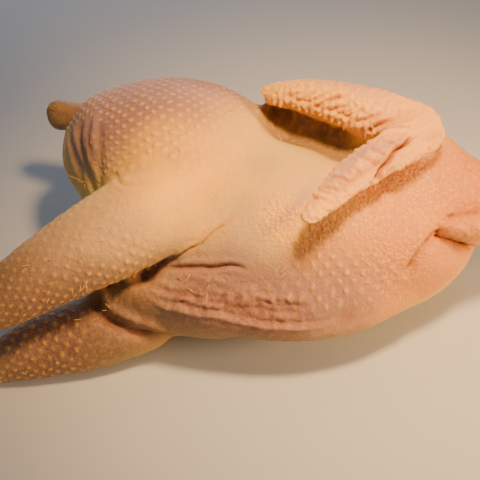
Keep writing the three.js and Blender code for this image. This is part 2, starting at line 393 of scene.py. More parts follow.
def even_mesh(skin, voxel):
    """Remeshes the skin to even squares and relaxes its facets."""
    remesh = skin.modifiers.new("even", "REMESH")
    remesh.mode = "VOXEL"
    remesh.voxel_size = voxel
    apply_modifiers(skin)
    work = bmesh.new()
    work.from_mesh(skin.data)
    smooth(work, work.verts, 5)
    work.to_mesh(skin.data)
    work.free()


def refine(mesh, wanted):
    """Halves the edges of the faces whose middles are wanted, and relaxes the new vertices."""
    work = bmesh.new()
    work.from_mesh(mesh)
    keep = wanted(np.array([face.calc_center_median() for face in work.faces]) / MM)
    edges = {edge for face, chosen in zip(work.faces, keep) if chosen for edge in face.edges}
    made = bmesh.ops.subdivide_edges(work, edges=list(edges), cuts=1, use_grid_fill=True)
    smooth(work, [v for v in made["geom_inner"] if isinstance(v, bmesh.types.BMVert)], 2)
    work.to_mesh(mesh)
    work.free()


def close_to_bone(points, stations, reach):
    """Whether each point lies within a bone's flesh and a reach beyond."""
    near = np.zeros(len(points), bool)
    near[near_path(points, stations[:, :3], stations[:, 3].max() + reach)[0]] = True
    return near


def pimpled(points):
    """Where the skin carries follicles or folds that need a finer mesh: legs, thigh, keel, neck and wing."""
    x, y, z = points.T
    legs = close_to_bone(points, RIGHT_SHIN, 3) | (close_to_bone(points, LEFT_SHIN, 2) & (y < -30))
    thigh = (np.linalg.norm((points - THIGH_CENTRE) / THIGH_HALF, axis=1) < 1.22) & (z > 58)
    keel = (y < -30) & (z > 26) & (x > -75)
    neck = ((x > 60) & (y < 12) & (z > 36)) | (x > 128)
    return legs | thigh | keel | neck | winged(points)


def winged(points):
    """Where the right wing's quills and folds need the finest mesh."""
    wing = close_to_bone(points, FOREARM, 2.5) | close_to_bone(points, HAND, 2.5)
    return wing & (points[:, 2] > 84)


def wing_edge(stations):
    """The outer edge of a wing bone's flesh, which is flat along the wing's face."""
    path = stations[:, :3]
    across = np.cross(WING_FACE, np.gradient(path, axis=0))
    across /= np.linalg.norm(across, axis=1)[:, None]
    return [tuple(p) for p in path - across * stations[:, 3:]]


def shifted(places, x, y, z):
    """The places, each moved by the same step."""
    return [(a + x, b + y, c + z) for a, b, c in places]


def press_thigh_folds(hide):
    """The loose skin that hangs in pleats from the thigh to the vent, and the crescent by the knee."""
    for place in ((-91, 26, 74), (-90, 14, 70), (-86, 4, 66)):
        hide.dent(place, 2.2, 8.5)
    hide.settle()
    # A pleat or furrow: its path, its height or depth, and its width.
    pleats = (
        (((-80, 30, 87), (-82, 23, 85), (-83, 15, 83), (-81, 9, 80)), 1.5, 1.5),
        (((-86, 29, 83), (-88, 22, 80), (-86, 12, 78), (-82, 2, 73), (-81, -2, 68)), 1.2, 2.1),
        (((-93, 34, 77), (-94, 27, 74), (-92, 18, 73), (-88, 9, 70)), 1.2, 1.6),
        (((-90, 8, 68), (-87, 2, 64), (-85, -2, 60)), 1.5, 1.8),
        (((-97, 33, 68), (-96, 24, 66), (-92, 11, 62), (-88, 1, 58)), 0.8, 1.5),
    )
    furrows = (
        (((-79, 22, 87), (-79, 14, 85), (-79, 7, 82), (-78, 2, 77), (-80, -3, 69)), 2.2, 2.4),
        (((-83, 27, 85), (-85, 20, 83), (-85, 12, 80), (-82, 6, 77), (-80, 1, 73)), 1.2, 1.3),
        (((-89, 33, 81), (-91, 26, 77), (-90, 15, 75), (-85, 4, 71), (-83, -1, 65)), 1.5, 1.5),
        (((-96, 36, 72), (-96, 30, 70), (-94, 20, 69), (-90, 12, 67)), 0.8, 1.4),
        (((-88, 22, 80), (-87, 16, 79), (-85, 10, 77)), 0.7, 1.0),
    )
    for places, depth, width in furrows:
        hide.stroke(places, 0.72 * depth, 1.15 * width, ends=(0, 0.7), flush_and_shade=0.16, pinch=0.15)
    hide.settle()
    for places, height, width in pleats:
        hide.stroke(places, -height, width, ends=(0, 0.5), pinch=0.15)
    hide.relax(hide.around((-84, 14, 78), 34), 7)
    hide.stroke([(-72, -4, 78), (-69, -12, 82), (-68, -18, 85), (-63, -23, 87), (-59, -21, 87)], 0.8, 1.3,
                lip=0.4, flush_and_shade=0.1)


def press_tail(hide):
    """The parson's nose: blunt tip drawn in behind, oil gland on top and a wrinkled root."""
    hide.stroke([(-101, 70, 58), (-103, 62, 62), (-103, 54, 58)], 1.2, 1.8, flush_and_shade=0.2)
    hide.stroke([(-97, 70, 60), (-98, 60, 64), (-97, 52, 58)], 1.0, 1.5, flush_and_shade=0.2)
    hide.dent((-110, 66, 60), -1.2, 3.5)
    hide.dent((-106, 58, 58), 1.4, 2.6)
    hide.relax(hide.around((-119, 66, 54), 17), 16)
    rough = grain(hide.points, 3.5, 14) + 0.5 * grain(hide.points, 1.8, 15)
    hide.swell(0.6 * rough * hide.around((-106, 66, 55), 24))


def press_leg_creases(hide):
    """The deep crease under the drumstick, the red one below it, and the pit between them."""
    # The deep crease under the drumstick gets painted shade as well as flushed red.
    hide.stroke([(-76, -44, 42), (-68, -45, 43), (-62, -44, 46), (-52, -39, 48), (-43, -36, 54)], 5.0, 2.6,
                ends=(1, 0.5), flush_and_shade=0.3, shade=0.9)
    hide.stroke([(-50, -39, 49), (-43, -36, 54), (-36, -35, 59), (-31, -34, 61), (-26, -32, 66),
                 (-20, -30, 69), (-12, -26, 74)], 1.1, 0.9, lip=0.45, ends=(1, 0), flush_and_shade=0.5, pinch=0.6)
    hide.stroke([(-53, -40, 47), (-46, -38, 49), (-39, -38.5, 50.5), (-31, -40, 52.5), (-24, -42, 53.5),
                 (-17, -43, 56.5), (-8, -45.5, 55)], 1.5, 1.25, lip=0.7, ends=(1, 0), flush_and_shade=0.8, pinch=0.5)
    hide.stroke([(-46, -42, 49), (-36, -44, 50), (-27, -47, 51), (-18, -48, 53)], -0.8, 2.2)
    hide.dent((-55, -41, 47), 3.0, 3.6, flush_and_shade=0.2)
    hide.settle()
    rim = [(-79, -46, 46), (-78, -46, 38), (-75, -51, 33), (-69, -54, 31), (-61, -56, 28), (-52, -56, 25),
           (-44, -55, 20)]
    hide.stroke(shifted(rim, -1.5, -0.5, -3.0), 4.2, 2.8, ends=(1, 0.2), flush_and_shade=0.5)
    hide.settle()
    hide.stroke(shifted(rim, 1.5, 0, 2.5), -1.8, 2.4, ends=(0.5, 0.2))
    hide.relax(hide.around((-66, -50, 36), 30), 2)


def press_keel(hide):
    """The belly skin gathered along the keel: its loose rim, a row of lumps and a crumpled band."""
    lip = [(-56, -46, 43), (-49, -49, 44), (-42, -52, 43), (-32, -54, 43), (-22, -56, 43)]
    hide.stroke(shifted(lip, 1.5, 1.5, 3.2), 1.0, 1.4, ends=(0.6, 0.1), flush_and_shade=0.4)
    hide.settle()
    hide.stroke(lip, -1.1, 2.0, ends=(0.7, 0.1))
    rim = [(-59, -48, 43), (-45, -56, 39), (-31, -58, 39), (-11, -61, 37), (2, -63, 34), (23, -61, 33),
           (34, -57, 34)]
    hide.stroke(rim, -1.3, 1.1)
    hide.stroke(shifted(rim, 0, 2.2, 2.6), 0.8, 1.1, flush_and_shade=0.3)
    hide.stroke([(-54, -45, 46), (-45, -50, 44), (-36, -53, 43), (-26, -55, 42)], 0.6, 1.5, flush_and_shade=0.35)
    hide.stroke([(-30, -52, 45), (-20, -55, 43), (-8, -57, 42), (6, -58, 41), (18, -58, 40)], 0.5, 1.4,
                flush_and_shade=0.35)
    hide.settle()
    fold = [(-15, -52, 47), (-6, -53.5, 47), (4, -54.5, 46.5), (13, -55, 46), (20, -54, 45.5)]
    hide.stroke(fold, -0.6, 1.6)
    hide.stroke(shifted(fold, 0, -1.6, -2.2), 0.6, 1.6, flush_and_shade=0.3)
    hide.beads(shifted(fold, 0, -0.5, -0.7), 1.0, 1.8, 4.2, 35)
    band = [(-56, -44, 45), (-40, -51, 45), (-28, -53, 45), (-14, -54, 45), (4, -57, 43), (24, -57, 41)]
    chosen, gap, _, along = hide.beside(band, 12)
    places = hide.points[chosen]
    crumple = grain(places * (0.75, 1, 1), 3.0, 2) + 0.7 * grain(places, 1.7, 3)
    hold = bell(gap, 6.5) * np.interp(along, (0, 0.15, 0.8, 1), (0.2, 1, 1, 0))
    hide.swell(1.4 * crumple * hold, chosen)
    # Painted shade: the crumple's troughs are darkened with the crease colour.
    hide.deepen("crease", chosen, 0.4 * np.clip(-crumple, 0, 1) * hold)


def press_neck(hide):
    """The neck skin that folds over the crop, and the crease that runs down from the fold."""
    hide.stroke([(80, -26, 58), (85, -27, 54), (93, -20, 46), (102, -11, 37)], 7.0, 2.6, ends=(0.8, 1),
                flush_and_shade=0.9, pinch=0.4)
    hide.settle()
    hide.stroke([(80, -21, 62), (86, -20, 58), (95, -13, 52), (104, -6, 44)], -3.6, 3.4, ends=(0.7, 1))
    hide.stroke([(79, -26, 60), (73, -32, 58), (67, -38, 53), (63, -41, 46)], 3.0, 2.5, ends=(1, 0),
                flush_and_shade=0.5, pinch=0.3)
    hide.dent((80, -40, 44), -1.8, 11)
    hide.dent((72, -28, 60), -1.2, 10)
    hide.stroke([(82, -20, 61), (86, -16, 61), (92, -11, 60), (97, -8, 59), (104, -5, 58)], 1.6, 2.6,
                ends=(0.3, 0), flush_and_shade=0.12)
    for place, height, radius in (((84, -21, 61), 2.0, 4.0), ((90, -19, 60), 2.6, 5.0),
                                  ((97, -18, 59), 2.6, 5.5), ((106, -12, 56), 2.0, 6.0)):
        hide.dent(place, -height, radius)
    chosen, gap, _, _ = hide.beside([(82, -21, 60), (90, -18, 58), (100, -14, 55)], 14)
    rough = grain(hide.points[chosen], 2.4, 11) + 0.5 * grain(hide.points[chosen], 1.3, 12)
    hide.swell(1.5 * rough * bell(gap, 9), chosen)


def press_neck_cut(hide):
    """The cut end of the neck: a rim of skin round meat that has drawn back."""
    offset = hide.points - NECK_CUT
    face = offset @ NECK_CUT_NORMAL
    away = np.linalg.norm(offset - face[:, None] * NECK_CUT_NORMAL, axis=1)
    meat = ramp(face, -2.5, -0.5) * (1 - ramp(away, 7.5, 10.5)) * (hide.points[:, 0] > NECK_START)
    sunk = 2.4 + 0.7 * grain(hide.points, 3.5, 41)
    hide.points -= NECK_CUT_NORMAL * (sunk * meat)[:, None]
    hide.meat = meat


def press_wing_hollow(hide):
    """The hollow of the flank below the folded wing, which the wing hangs over, with painted shade on its
    floor, its far wall and below its near edge.
    """
    path = smooth_path([(-4, 31, 85), (10, 26, 84), (24, 20, 83), (36, 13, 83), (44, 4, 83)])
    chosen, gap, _, along = near_path(hide.points, path, 27)
    low = 1 - ramp(hide.points[chosen, 2], 85.5, 89)
    hold = np.interp(along, (0, 0.25, 0.8, 1), (0.35, 1, 1, 0.5))
    hide.points[chosen, 2] -= 14 * bell(gap, 12.5) * low * hold
    # The floor of the hollow gets painted shade.
    floor = 1 - ramp(hide.points[chosen, 2], 76, 82)
    hide.deepen("shade", chosen, 0.8 * floor * bell(gap, 14) * hold)
    wall = smooth_path([(-3, 38, 80), (7, 35, 80), (16, 31, 79), (26, 27, 78), (35, 22, 78), (45, 14, 79)])
    chosen, gap, _, along = near_path(hide.points, wall, 22)
    low = 1 - ramp(hide.points[chosen, 2], 81, 87.5)
    hold = np.interp(along, (0, 0.15, 0.85, 1), (0.3, 1, 1, 0.3))
    push = 11 * bell(gap, 9) * low * hold
    hide.points[chosen, 1] += push
    hide.points[chosen, 2] -= 0.3 * push
    # The far wall gets painted shade too.
    hide.deepen("shade", chosen, bell(gap, 12) * low * hold)
    # A painted soft shadow below the near edge, where the wing's shadow falls.
    edge = smooth_path([(-4, 31, 79), (8, 23, 77), (22, 14, 76), (36, 7, 76)])
    chosen, gap, _, along = near_path(hide.points, edge, 20)
    hold = np.interp(along, (0, 0.2, 0.85, 1), (0.4, 1, 1, 0.2)) * (hide.points[chosen, 2] < 88)
    hide.deepen("shade", chosen, 0.4 * bell(gap, 8) * hold)
    hide.relax(hide.around((20, 14, 80), 30), 4)


def on_right_wing(hide):
    """1 on the flesh of the right wing, 0 away from it."""
    return np.maximum(hide.along_bone(FOREARM, 3)[0], hide.along_bone(HAND, 3)[0])


def press_wing(hide, quill_gap):
    """The wing's quill sockets in a row along its edge, the pleats running up from them and the thumb."""
    trailing = wing_edge(FOREARM)[:3] + [(52, 8, 90)]
    hide.beads(trailing, 2.1, 2.1, quill_gap, 58, outward=unit(-0.3, -0.84, -0.3), sharpness=0.6)
    hide.settle()
    # Rows of lumps up from the edge: how far they are from it, their height, width and gap.
    for step, height, width, spread in (((0.6, 2.0, 2.2), 1.0, 1.5, 1), ((1.6, 5.2, 3.6), 0.9, 1.6, 1),
                                        ((2.6, 8.6, 4.6), 0.6, 1.6, 1.2)):
        hide.beads(shifted(trailing, *step), height, width, quill_gap * spread, 58)
    hide.stroke(shifted(trailing, 1.2, 3.6, 3.0), 0.5, 1.0, ends=(0.5, 1), flush_and_shade=0.08)
    pleats = (
        [(11, 31, 94), (17, 32, 97)], [(15, 28, 94), (20, 29, 97), (24, 31, 99)],
        [(18, 27, 94), (25, 27, 97), (30, 29, 99)], [(24, 24, 94), (30, 25, 98), (37, 26, 100)],
        [(29, 21, 94), (35, 21, 97), (41, 22, 99)], [(33, 19, 94), (38, 19, 97), (44, 20, 99)],
        [(37, 17, 94), (41, 18, 96), (46, 18, 98)], [(43, 14, 93), (50, 15, 96), (54, 16, 98)],
        [(48, 11, 90), (52, 12, 93), (59, 12, 96)], [(52, 4, 96), (56, 3, 98), (60, 4, 99), (66, 4, 99)],
    )
    # The three pleats next to the elbow are shallow, and two of the others are flushed darker; the flushed
    # red in the pleats is partly painted shade.
    for number, pleat in enumerate(pleats):
        depth = 1.0 if number < 3 else 1.6
        flush_and_shade = 0.6 if number in (3, 9) else 0.32
        hide.stroke(pleat, depth, 1.15, lip=0.8, ends=(0.8, 0), flush_and_shade=flush_and_shade)
        hide.dent(pleat[0], 0.4, 1.2, flush_and_shade=0.1)
    hide.beads(wing_edge(HAND)[1:], 0.9, 1.5, quill_gap * 1.2, 54)
    hide.stroke([(48, -24, 93), (50, -21, 95), (55, -16, 96), (57, -11, 98), (62, -7, 97), (65, -3, 98),
                 (69, 0, 97)], 2.8, 1.2, lip=0.7, ends=(1, 0), flush_and_shade=0.9, pinch=0.5)
    hide.dent((50, -22, 93), -2.0, 1.9)
    hide.dent((47, -18, 95), 1.4, 1.6, flush_and_shade=0.6)
    hide.beads([(58, -19, 92), (66, -10, 93), (76, 1, 92)], 0.9, 1.5, 3.2, 28)
    for shift in (0, 6, 11, 17, 23, 28, 33):
        x, y, z = 50 - shift, -5 - 0.95 * shift, 97 - 0.1 * shift
        hide.stroke([(x, y, z), (x + 5, y - 2, 98), (x + 10, y - 5, 97)], 0.8, 1.0, lip=0.5, flush_and_shade=0.42)
    lumps = grain(hide.points, 2.5, 5) + 0.6 * grain(hide.points, 1.3, 6)
    hide.swell(0.6 * lumps * on_right_wing(hide))


def mark_tracts(hide, gap):
    """Lays the feather tracts: where follicles stand, and their lattice on each part of the body."""
    trunk_y, trunk_z = TRUNK_AXIS
    x, y, z = hide.points.T
    hide.tract[:, 0] = x
    hide.tract[:, 1] = np.arctan2(y - trunk_y, z - trunk_z) * TRUNK_RADIUS
    thigh = (hide.points - THIGH_CENTRE) / THIGH_HALF
    reach = np.linalg.norm(thigh, axis=1)
    thigh /= reach[:, None]
    east = np.cross((0, 1, 0), THIGH_POLE)
    east /= np.linalg.norm(east)
    north = np.cross(THIGH_POLE, east)
    travel = np.arccos(np.clip(thigh @ THIGH_POLE, -1, 1)) * THIGH_RADIUS
    heading = np.arctan2(thigh @ north, thigh @ east)
    share = (1 - ramp(reach, 1.1, 1.4)) * ramp(z, 40, 56) * (1 - ramp(x, -12, 4))
    lattice = np.column_stack((travel * np.cos(heading), travel * np.sin(heading)))
    hide.tract[share > 0.5, :2] = lattice[share > 0.5]
    amount = 0.12 + 0.88 * ramp(share, 0.4, 1)
    whole = ramp(np.abs(share - 0.5), 0.05, 0.4)
    for stations, up, girth, start in (
            (RIGHT_SHIN, (-0.3, -0.5, 0.8), 17, 34), (LEFT_SHIN, (-0.3, -0.6, 0.7), 14, 14),
            (NECK_BONE, (0, -0.6, 0.8), 17, 14)):
        share, travel, foot = hide.along_bone(stations, 4)
        way = stations[-1, :3] - stations[0, :3]
        way /= np.linalg.norm(way)
        up = up - way * np.dot(up, way)
        up /= np.linalg.norm(up)
        spoke = hide.points - foot
        angle = np.arctan2(spoke @ np.cross(way, up), spoke @ up)
        hold = ramp(share, 0, 0.8) * ramp(travel, start - 16, start + 6)
        hide.tract[hold > 0.5, :2] = np.column_stack((travel, angle * girth))[hold > 0.5]
        grown = ramp(travel, start, start + 26) * share * (0.6 + 0.4 * ramp(np.abs(angle), 0.5, 1.4))
        amount = amount * (1 - hold) + grown * hold
        whole = np.minimum(whole, ramp(np.abs(hold - 0.5), 0.05, 0.4))
    for stations in WING_BONES:
        amount = amount * (1 - hide.along_bone(stations, 3)[0])
    # Smooth places: centre, radius and the share of the follicles that is left.
    fades = (
        ((-46, -30, 84), 27, 0.1), ((-63, -12, 84), 16, 0.7), ((-18, -8, 87), 27, 0.1),
        ((5, 0, 84), 44, 0.05), ((-5, 30, 88), 22, 0.15), ((-94, 20, 68), 26, 0.0),
        ((-87, 2, 68), 18, 0.0), ((-84, 24, 82), 9, 0.2), ((-79, 18, 86), 7, 0.0), ((-79, 6, 82), 8, 0.0),
        ((-40, -46, 46), 20, 0.0), ((-105, 63, 60), 22, 0.15), ((-12, -20, 80), 26, 0.05),
        ((-78, -38, 80), 24, 0.45), ((-98, -46, 70), 20, 0.6),
    )
    for place, radius, left in fades:
        amount *= 1 - (1 - left) * hide.around(place, radius)
    # Pimpled places: centre, radius and the least strength of their follicles.
    gains = (
        ((20, 62, 52), 70, 0.45), ((-60, 62, 40), 60, 0.4), ((100, 36, 40), 50, 0.5),
        ((17, -30, 73), 13, 0.55), ((30, -50, 54), 26, 0.75), ((52, -46, 50), 24, 0.55),
        ((10, -55, 46), 22, 0.5), ((60, -25, 73), 26, 0.3), ((90, 0, 72), 28, 0.4),
        ((110, 8, 58), 26, 0.45), ((-70, -45, 25), 30, 0.25), ((-26, 34, 90), 36, 0.9),
        ((-40, 6, 91), 28, 0.8), ((-62, -8, 85), 24, 0.75),
    )
    for place, radius, gain in gains:
        amount = np.maximum(amount, gain * hide.around(place, radius))
    hide.pimple = amount * np.clip(1 + 0.45 * grain(hide.points, 7, 21), 0.3, 1.6)
    hide.pimple *= whole * (1 - np.clip(1.4 * hide.crease, 0, 1))
    for axis in (0, 1):
        stray = 1.5 * grain(hide.points, 10, 8 + axis) + 0.35 * grain(hide.points, 4.5, 44 + axis)
        hide.tract[:, axis] += stray
    first, second = hide.tract[:, 0], hide.tract[:, 1]
    hide.tract[:, :2] = np.column_stack((first + second, second - first)) / (gap * math.sqrt(2))


def raise_follicles(hide, gap, height):
    """Raises a small dome at each follicle of the tracts."""
    cell = hide.tract[:, :2] - np.round(hide.tract[:, :2])
    away = np.linalg.norm(cell, axis=1) * gap
    dome = bell(away, 1.05)
    row = np.cos(2 * math.pi * (hide.tract[:, 0] + hide.tract[:, 1]))
    wrinkled = 0.28 * hide.around((-68, 4, 86), 38)
    hide.swell((dome - 0.25 + wrinkled * row) * height * hide.pimple)


def paint_skin(hide, settings):
    """Colours the skin by what lies under it, broad patches first."""
    fat, mauve, dusky_and_shade, peach, pink, blood_and_shade = [np.array(colour) for colour in (
        settings.fat, settings.mauve, settings.dusky_and_shade, settings.peach, settings.pink, settings.blood_and_shade)]
    hide.tint[:] = settings.pale
    # A patch: its centre, radius, colour and strength. A streak: its path, width, colour and strength.
    # Most dusky patches are painted shade, on the tail, the top of the thigh, the pleats, the shin's lower
    # side and end, the left leg and the keel's lower wall.
    hide.daub((
        ((0, 75, 28), 85, peach, 0.35), ((-60, 66, 20), 60, peach, 0.3), ((20, 70, 40), 60, mauve, 0.25),
        ((-70, 66, 40), 50, mauve, 0.35), ((60, 60, 60), 40, fat, 0.3),
        ((-40, 20, 90), 62, fat, 0.5), ((-54, 36, 90), 54, mauve, 0.95), ((-86, 26, 82), 36, mauve, 0.75),
        ((-28, 52, 84), 36, mauve, 0.95), ((-29, 50, 88), 17, blood_and_shade, 0.3), ((-30, 54, 82), 28, dusky_and_shade, 0.7),
        ((-56, 46, 88), 28, dusky_and_shade, 0.5), ((-52, 14, 92), 32, mauve, 0.8), ((-55, 18, 92), 36, dusky_and_shade, 0.42),
        ((-44, -6, 90), 32, fat, 1.0), ((-46, -20, 88), 34, fat, 0.9), ((-26, -10, 88), 26, fat, 0.75),
        ((-68, -36, 82), 20, mauve, 0.3), ((-95, -50, 70), 38, mauve, 0.5), ((-120, -62, 54), 36, dusky_and_shade, 0.6),
        ((-92, -60, 50), 32, dusky_and_shade, 0.55), ((-58, -42, 64), 24, mauve, 0.25),
        ((-105, -56, 18), 54, dusky_and_shade, 0.9), ((-60, -50, 24), 34, dusky_and_shade, 0.6),
        ((-12, -31, 70), 20, mauve, 0.35),
        ((60, -20, 70), 46, peach, 0.8), ((95, 0, 65), 50, peach, 0.95), ((120, 5, 50), 50, peach, 0.95),
        ((62, -42, 48), 46, peach, 0.95), ((30, -46, 60), 30, peach, 0.5), ((84, -34, 42), 30, peach, 0.9),
        ((-30, -52, 46), 34, mauve, 0.8), ((0, -57, 43), 36, mauve, 0.8), ((28, -57, 38), 30, mauve, 0.6),
        # The peach patch at (18, -40, 67) on this line is painted shadow colour, reddening the shade that the
        # hand casts on the flank.
        ((20, -46, 56), 26, mauve, 0.35), ((44, -48, 46), 26, mauve, 0.3), ((18, -40, 67), 20, peach, 0.5),
        ((-50, -52, 38), 34, dusky_and_shade, 0.6), ((-12, -60, 28), 44, dusky_and_shade, 0.7), ((28, -58, 26), 38, dusky_and_shade, 0.5),
        ((-20, -50, 47), 26, blood_and_shade, 0.2), ((6, -55, 45), 24, blood_and_shade, 0.18), ((8, -33, 74), 15, fat, 0.9),
        ((90, 5, 75), 28, blood_and_shade, 0.1), ((108, 4, 58), 26, blood_and_shade, 0.12), ((92, -18, 55), 18, blood_and_shade, 0.3),
        ((-105, 63, 60), 30, dusky_and_shade, 0.75), ((-88, 14, 74), 22, dusky_and_shade, 0.35), ((38, -58, 36), 7, blood_and_shade, 0.5),
        ((50, -55, 36), 5, blood_and_shade, 0.45), ((81, 3, 82), 5, blood_and_shade, 0.4), ((92, -36, 22), 12, fat, 0.8),
    ))
    for stations in WING_BONES:
        hide.cover(0.9 * hide.along_bone(stations, 4)[0], pink)
    hide.daub((
        ((4, 36, 92), 17, fat, 0.8), ((16, 30, 94), 15, fat, 0.8), ((28, 25, 95), 14, fat, 0.7),
        ((40, 18, 95), 13, fat, 0.6), ((56, -18, 96), 10, blood_and_shade, 0.2), ((64, -8, 98), 10, blood_and_shade, 0.15),
        ((30, -26, 98), 12, mauve, 0.2), ((44, -8, 99), 12, mauve, 0.15), ((62, 14, 101), 12, blood_and_shade, 0.08),
    ))
    streaks = (
        (((25, -12, 84), (17, -23, 79), (9, -30, 75), (0, -36, 70), (-8, -38, 66)), 4.0, mauve, 0.6),
        (((-12, -10, 82), (-7, -5, 83), (1, -4, 84), (7, -7, 84)), 7.0, mauve, 0.25),
        (((24, 2, 85), (12, -10, 84), (4, -19, 80), (-5, -26, 75), (-15, -29, 71)), 5.0, pink, 0.4),
        (((-12, -27, 73), (-20, -29, 70), (-28, -31, 66), (-40, -36, 55)), 3.5, fat, 0.7),
        # The next streak, flushed red on the flank below the hand, is painted shadow.
        (((15, -37, 70), (21, -38, 69), (28, -36, 70), (35, -29, 75)), 6.5, blood_and_shade, 0.3),
        (((-24, -36, 62), (-14, -40, 60), (-4, -43, 58)), 5.0, mauve, 0.5),
        (((66, -2, 99), (56, -8, 99), (44, -12, 99), (32, -25, 98), (22, -36, 95)), 3.0, mauve, 0.8),
        (((60, -12, 98), (50, -18, 97), (38, -28, 96), (26, -39, 93)), 1.8, blood_and_shade, 0.4),
        (((70, -4, 98), (80, 2, 96), (84, 8, 92)), 2.4, blood_and_shade, 0.3),
        (((2, 44, 92), (20, 40, 97), (44, 32, 101), (62, 22, 103)), 4.5, mauve, 0.5),
    )
    for places, width, colour, strength in streaks:
        hide.tinge(places, width, colour, strength)
    # The photograph's own shade on the lower leg, painted, and then all painted shade, of the lower leg, the
    # creases and the hollow under the wing, laid over the colour.
    hide.dapple("shade", (((-80, -60, 28), 38, 0.6), ((-75, -56, 56), 20, 0.5), ((-122, -66, 46), 24, 0.35)))
    hide.tint *= 1 - 0.93 * hide.shade[:, None]
    hide.tint += 0.2 * hide.shade[:, None] * mauve
    hide.dapple("stipple", (
        ((6, -31, 74), 18, 1.0), ((26, -34, 72), 16, 0.6), ((46, -24, 74), 26, 0.8),
        ((68, -10, 74), 30, 0.8), ((60, -38, 58), 30, 0.6), ((-30, 0, 90), 30, 0.35)))
    hide.dapple("speck", (((85, 0, 72), 42, 0.9), ((105, 0, 55), 40, 0.9), ((64, -22, 68), 34, 0.5),
                          ((84, -34, 44), 30, 0.4)))
    hide.speck *= 1 - on_right_wing(hide)
    for stations in (RIGHT_SHIN, LEFT_SHIN):
        cap = 1 - ramp(np.linalg.norm(hide.points - stations[-1, :3], axis=1), 8, 12)
        hide.cover(cap, linear("e6dccb"))
        hide.pimple *= 1 - cap
    face = (hide.points - NECK_CUT) @ NECK_CUT_NORMAL
    cut = np.maximum(ramp(face, -1.2, -0.3) * (hide.points[:, 0] > NECK_START), hide.meat)
    fibre = 0.75 + 0.35 * grain(hide.points, 2.2, 42)
    hide.cover(cut, np.array(linear("a84a3a")) * fibre[:, None])
    hide.pimple *= 1 - cut
    hide.speck *= 1 - cut


def store_layers(hide):
    """Writes the painted layers as attributes that the skin's material reads."""
    mesh = hide.mesh
    tint = mesh.attributes.new("tint", "FLOAT_COLOR", "POINT")
    opaque = np.ones(len(hide.points))
    tint.data.foreach_set("color", np.column_stack((hide.tint, opaque)).astype(np.float32).ravel())
    tract = mesh.attributes.new("tract", "FLOAT_VECTOR", "POINT")
    tract.data.foreach_set("vector", hide.tract.astype(np.float32).ravel())
    for name in LAYERS:
        layer = mesh.attributes.new(name, "FLOAT", "POINT")
        layer.data.foreach_set("value", getattr(hide, name).astype(np.float32))


# Materials.

def add_node(tree, kind, settings=None, **links):
    """Adds a node, sets its properties and sockets, and links its inputs.

    settings holds properties and input values by name. A link's name is an input's name with underscores
    for spaces, and its value an output socket."""
    node = tree.nodes.new(kind)
    for name, value in (settings or {}).items():
        if hasattr(node, name):
            setattr(node, name, value)
        else:
            node.inputs[name].default_value = value
    for name, source in links.items():
        tree.links.new(source, node.inputs[name.replace("_", " ")])
    return node


def new_material(name):
    """A new material, its node tree, its Principled shader and the place on the object."""
    material = bpy.data.materials.new(name)
    material.use_nodes = True
    tree = material.node_tree
    tree.nodes.clear()
    shader = add_node(tree, "ShaderNodeBsdfPrincipled")
    add_node(tree, "ShaderNodeOutputMaterial", Surface=shader.outputs["BSDF"])
    return material, tree, shader, add_node(tree, "ShaderNodeTexCoord").outputs["Object"]


def connect(tree, value, socket):
    """Gives a socket another's value, a number or a linear colour."""
    if isinstance(value, bpy.types.NodeSocket):
        tree.links.new(value, socket)
    else:
        socket.default_value = value if isinstance(value, float) else (*value, 1)


def blended(tree, factor, first, second):
    """A colour mixed from two; the Mix node's colour sockets are 6, 7 and 2."""
    mix = add_node(tree, "ShaderNodeMix", {"data_type": "RGBA"})
    for value, number in ((factor, 0), (first, 6), (second, 7)):
        connect(tree, value, mix.inputs[number])
    return mix.outputs[2]


def arithmetic(tree, operation, first, second):
    """A number worked out from two."""
    node = add_node(tree, "ShaderNodeMath", {"operation": operation})
    connect(tree, first, node.inputs[0])
    connect(tree, second, node.inputs[1])
    return node.outputs[0]


def times(tree, first, second):
    """The product of two numbers."""
    return arithmetic(tree, "MULTIPLY", first, second)


def summed(tree, parts):
    """The sum of some patterns, each times its own strength."""
    total = times(tree, *parts[0])
    for pattern, strength in parts[1:]:
        total = arithmetic(tree, "ADD", total, times(tree, pattern, strength))
    return total


def texture(tree, kind, place, size, **settings):
    """A noise or cell pattern with features of a size in millimetres."""
    settings["Scale"] = 1 / (size * MM)
    return add_node(tree, "ShaderNodeTex" + kind, settings, Vector=place).outputs[0]


def remapped(tree, value, low, high, start=0.0, end=1.0, curve="LINEAR"):
    """A value moved from one range into another."""
    ranges = {"interpolation_type": curve, "From Min": low, "From Max": high, "To Min": start, "To Max": end}
    return add_node(tree, "ShaderNodeMapRange", ranges, Value=value).outputs[0]


def painted(tree, name, output="Fac"):
    """A layer painted on the mesh."""
    return add_node(tree, "ShaderNodeAttribute", {"attribute_name": name}).outputs[output]


